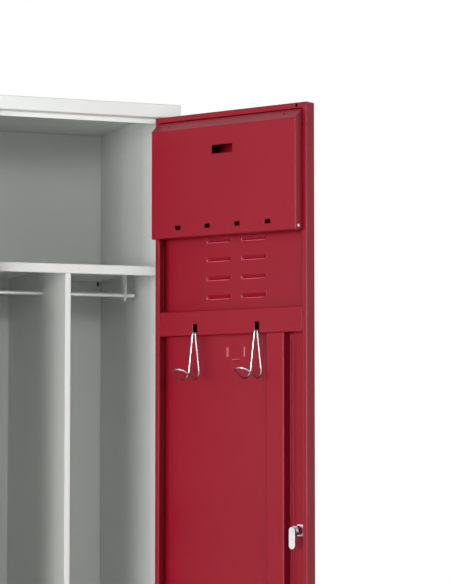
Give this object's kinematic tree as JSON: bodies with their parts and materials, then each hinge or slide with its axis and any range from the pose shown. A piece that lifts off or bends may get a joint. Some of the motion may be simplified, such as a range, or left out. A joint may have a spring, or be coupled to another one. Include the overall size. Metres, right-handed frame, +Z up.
{
  "type": "firefighter locker",
  "caption": "Tall sheet-steel locker for firefighters' gear with a wide-open pivoting red door, helmet shelf, divider, coat rail, wire hooks on the door, louvres and a cam lock.",
  "frame": {"origin": "middle of the carcass footprint, on the floor", "axes": "+X to the right of someone facing the locker, +Y towards its back, +Z up; its front faces -Y"},
  "size_m": [0.5812, 0.8267, 1.8],
  "materials": {
    "carcass_paint": "satin light grey powder coat",
    "door_paint": "satin deep red powder coat",
    "rail_steel": "drawn bar",
    "hook_chrome": "bright plated wire",
    "lock_chrome": "bright plated",
    "fastener_steel": "zinc plated",
    "bush_plastic": "moulded",
    "bumper_rubber": "matt"
  },
  "bodies": {
    "carcass": {"base_plinth": "carcass_paint", "floor_pan": "carcass_paint", "left_side_panel": "carcass_paint", "right_side_panel": "carcass_paint", "back_panel": "carcass_paint", "roof_panel": "carcass_paint", "shelf": "carcass_paint", "divider": "carcass_paint", "coat_rail": "rail_steel", "left_rail_hanger": "carcass_paint", "right_rail_hanger": "carcass_paint", "upper_pivot_bush": "bush_plastic", "lower_pivot_bush": "bush_plastic"},
    "door": {"door_skin": "door_paint", "upper_tray_panel": "door_paint", "tray_screws": "fastener_steel", "tray_rivets": "door_paint", "hook_rail": "door_paint", "door_stiffener": "door_paint", "door_bumpers": "bumper_rubber", "upper_pivot_pin": "fastener_steel", "lower_pivot_pin": "fastener_steel", "lock_barrel": "lock_chrome", "lock_nut": "fastener_steel"},
    "lock": {"lock_plug": "lock_chrome", "lock_cam": "fastener_steel", "cam_screw": "fastener_steel"},
    "left_hook": {"left_wire_hook": "hook_chrome"},
    "right_hook": {"right_wire_hook": "hook_chrome"}
  },
  "joints": [
    {"name": "door_swing", "type": "hinge", "parent": "carcass", "child": "door", "pos_m": [0.18014, -0.244, 0.94], "axis": [0, 0, 1], "range_deg": [-120, 0]},
    {"name": "lock_turn", "type": "hinge", "parent": "door", "child": "lock", "pos_m": [0.35341, -0.53211, 0.95], "axis": [-0.866, -0.5, 0], "range_deg": [0, 90]},
    {"name": "left_hook_lift", "type": "hinge", "parent": "door", "child": "left_hook", "pos_m": [0.21034, -0.3355, 1.3313], "axis": [-0.5, 0.866, 0], "range_deg": [0, 15]},
    {"name": "right_hook_lift", "type": "hinge", "parent": "door", "child": "right_hook", "pos_m": [0.28744, -0.46904, 1.3313], "axis": [-0.5, 0.866, 0], "range_deg": [0, 15]}
  ]
}
